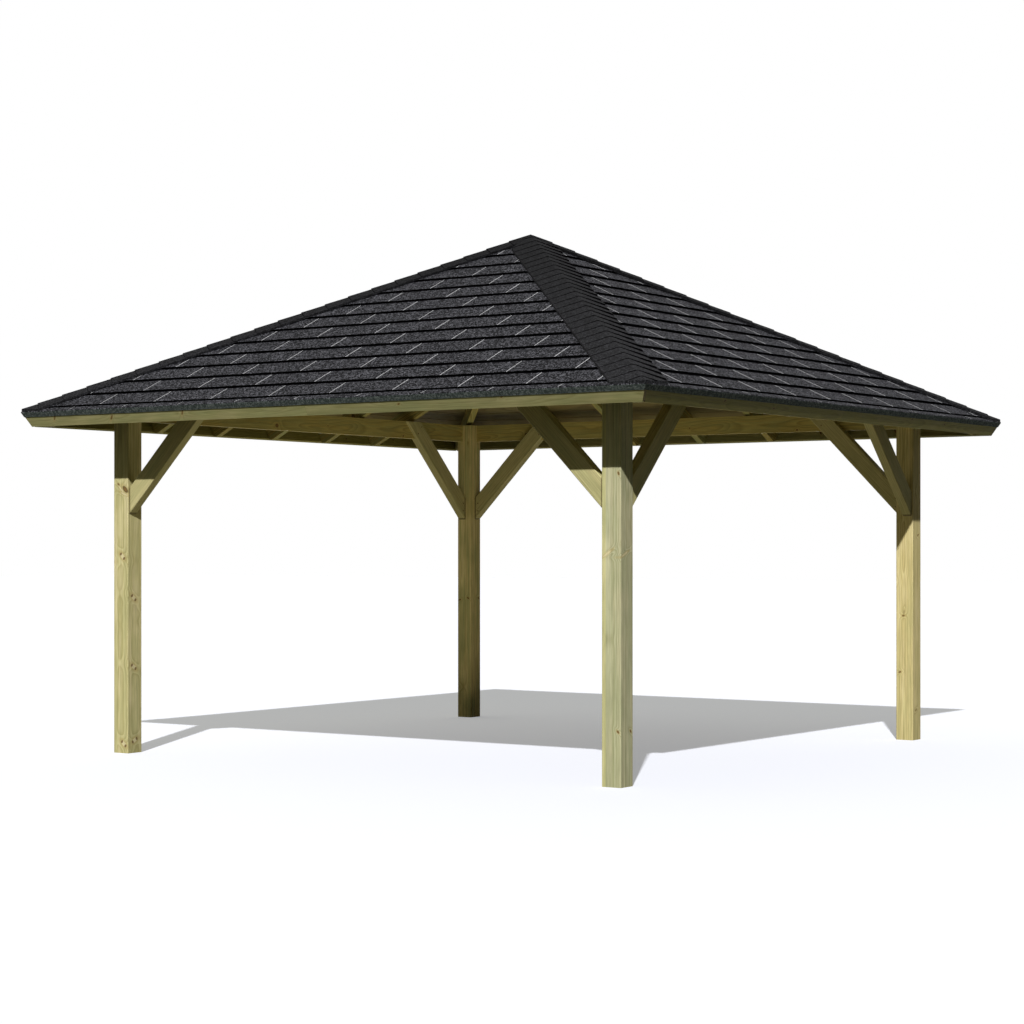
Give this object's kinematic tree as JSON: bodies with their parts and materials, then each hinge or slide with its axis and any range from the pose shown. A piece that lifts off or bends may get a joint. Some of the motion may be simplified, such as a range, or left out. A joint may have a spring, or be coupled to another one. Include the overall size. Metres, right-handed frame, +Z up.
{
  "type": "garden gazebo",
  "caption": "Open square garden gazebo: corner posts with braces and beams carry a low hipped roof of rafters and boards with felt shingles and folded hip caps.",
  "frame": {"origin": "centre of the plan at ground level, under the apex", "axes": "+Z up, +X towards the right side and -Y towards the front side"},
  "size_m": [4.375, 4.375, 3.1761],
  "materials": {
    "pine_posts": "planed",
    "pine_braces": "planed",
    "pine_beams": "planed",
    "pine_rafters": "planed",
    "pine_boards": "planed",
    "pine_fascia": "planed",
    "felt_shingles": "granulated felt",
    "felt_caps": "granulated felt"
  },
  "bodies": {
    "root": {"post_back_right": "pine_posts", "post_back_left": "pine_posts", "post_front_left": "pine_posts", "post_front_right": "pine_posts", "beam_right": "pine_beams", "beam_back": "pine_beams", "beam_left": "pine_beams", "beam_front": "pine_beams", "brace_a_back_right": "pine_braces", "brace_b_back_right": "pine_braces", "brace_a_back_left": "pine_braces", "brace_b_back_left": "pine_braces", "brace_a_front_left": "pine_braces", "brace_b_front_left": "pine_braces", "brace_a_front_right": "pine_braces", "brace_b_front_right": "pine_braces", "hip_rafter_back_right": "pine_rafters", "hip_rafter_back_left": "pine_rafters", "hip_rafter_front_left": "pine_rafters", "hip_rafter_front_right": "pine_rafters", "middle_rafter_right": "pine_rafters", "middle_rafter_back": "pine_rafters", "middle_rafter_left": "pine_rafters", "middle_rafter_front": "pine_rafters", "jack_rafters_right": "pine_rafters", "jack_rafters_back": "pine_rafters", "jack_rafters_left": "pine_rafters", "jack_rafters_front": "pine_rafters", "apex_hub": "pine_rafters", "roof_boards_right": "pine_boards", "roof_boards_back": "pine_boards", "roof_boards_left": "pine_boards", "roof_boards_front": "pine_boards", "fascia_right": "pine_fascia", "fascia_back": "pine_fascia", "fascia_left": "pine_fascia", "fascia_front": "pine_fascia", "shingles_right": "felt_shingles", "shingles_back": "felt_shingles", "shingles_left": "felt_shingles", "shingles_front": "felt_shingles", "hip_caps_back_right": "felt_caps", "hip_caps_back_left": "felt_caps", "hip_caps_front_left": "felt_caps", "hip_caps_front_right": "felt_caps"}
  },
  "joints": []
}
